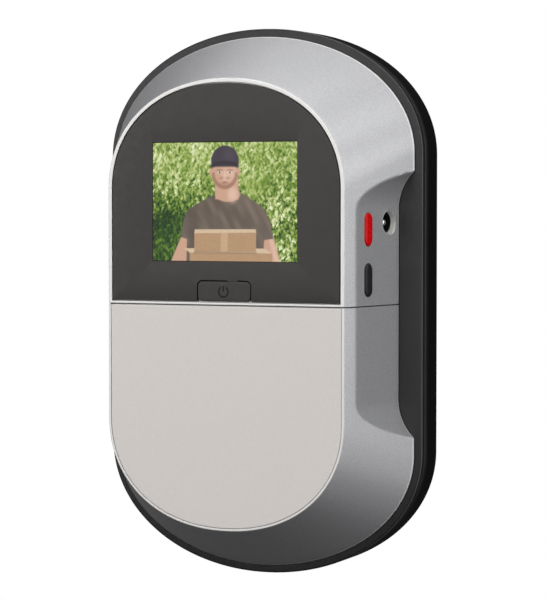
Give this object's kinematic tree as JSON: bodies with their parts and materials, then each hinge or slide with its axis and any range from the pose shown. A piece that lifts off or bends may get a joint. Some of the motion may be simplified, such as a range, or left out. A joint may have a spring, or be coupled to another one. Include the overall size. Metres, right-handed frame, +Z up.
{
  "type": "door viewer",
  "caption": "Digital door viewer, indoor unit: silver flared housing with a small display, power key and side buttons over a slide-off battery cover, on a black door base.",
  "frame": {"origin": "centre of the mounting base's flat back, which lies on the inside of the door", "axes": "+Y into the door, so the display faces -Y; +Z up along the long side; +X to the right of someone facing the display"},
  "size_m": [0.109, 0.0433, 0.175],
  "materials": {
    "base_black": "fine moulded texture",
    "housing_black": "fine moulded texture",
    "silver": "silver metallic paint, satin",
    "bezel_grey": "smooth satin, warm dark grey",
    "display_window": "clear, polished",
    "display": "lit picture",
    "inner_black": "moulded",
    "face_plate": "warm pale silver paint, fine grain",
    "red": "glossy",
    "button_black": "glossy",
    "component_black": "moulded",
    "board_green": "solder mask",
    "nickel": "nickel plate",
    "connector_white": "moulded, off-white",
    "cell": "printed wrap, satin",
    "screw_steel": "zinc plate",
    "stud_steel": "zinc plate"
  },
  "bodies": {
    "base": {"mounting_base": "base_black", "hook_stud_1": "stud_steel", "hook_stud_2": "stud_steel", "hook_stud_3": "stud_steel", "hook_stud_4": "stud_steel"},
    "unit": {"rear_housing": "housing_black", "upper_shell": "silver", "bezel": "bezel_grey", "display_window": "display_window", "display_panel": "display", "display_frame": "inner_black", "battery_tray": "inner_black", "key_switch": "component_black", "red_button_switch": "component_black", "black_button_switch": "component_black", "processor": "component_black", "power_socket_body": "component_black", "main_board": "board_green", "side_board": "board_green", "radio_shield": "nickel", "cell_contact_1": "nickel", "cell_contact_2": "nickel", "cell_contact_3": "nickel", "cell_contact_4": "nickel", "cell_spring_1": "nickel", "cell_spring_2": "nickel", "cell_spring_3": "nickel", "cell_spring_4": "nickel", "power_socket_sleeve": "nickel", "power_socket_pin": "nickel", "camera_socket": "connector_white", "cell_1": "cell", "cell_2": "cell", "cell_3": "cell", "cell_4": "cell", "housing_screw_1": "screw_steel", "housing_screw_2": "screw_steel", "housing_screw_3": "screw_steel", "housing_screw_4": "screw_steel", "board_screw_1": "screw_steel", "board_screw_2": "screw_steel", "board_screw_3": "screw_steel", "board_screw_4": "screw_steel", "cover_catch": "screw_steel"},
    "cover": {"battery_cover": "silver", "lower_face_plate": "face_plate"},
    "power_key": {"power_key": "bezel_grey"},
    "red_button": {"red_button": "red"},
    "black_button": {"black_button": "button_black"}
  },
  "joints": [
    {"name": "unit_lift", "type": "slide", "parent": "base", "child": "unit", "axis": [0, 0, 1], "range_m": [0, 0.009]},
    {"name": "cover_slide", "type": "slide", "parent": "unit", "child": "cover", "axis": [0, 0, -1], "range_m": [0, 0.075]},
    {"name": "power_key_press", "type": "hinge", "parent": "unit", "child": "power_key", "pos_m": [0, -0.04105, 0.00916], "axis": [1, 0, 0], "range_deg": [0, 4], "stiffness_Nm_per_rad": 0.5},
    {"name": "red_button_press", "type": "slide", "parent": "unit", "child": "red_button", "axis": [-0.9819, 0.1895, 0], "range_m": [0, 0.0005], "stiffness_N_per_m": 400},
    {"name": "black_button_press", "type": "slide", "parent": "unit", "child": "black_button", "axis": [-0.9819, 0.1895, 0], "range_m": [0, 0.0005], "stiffness_N_per_m": 400}
  ]
}
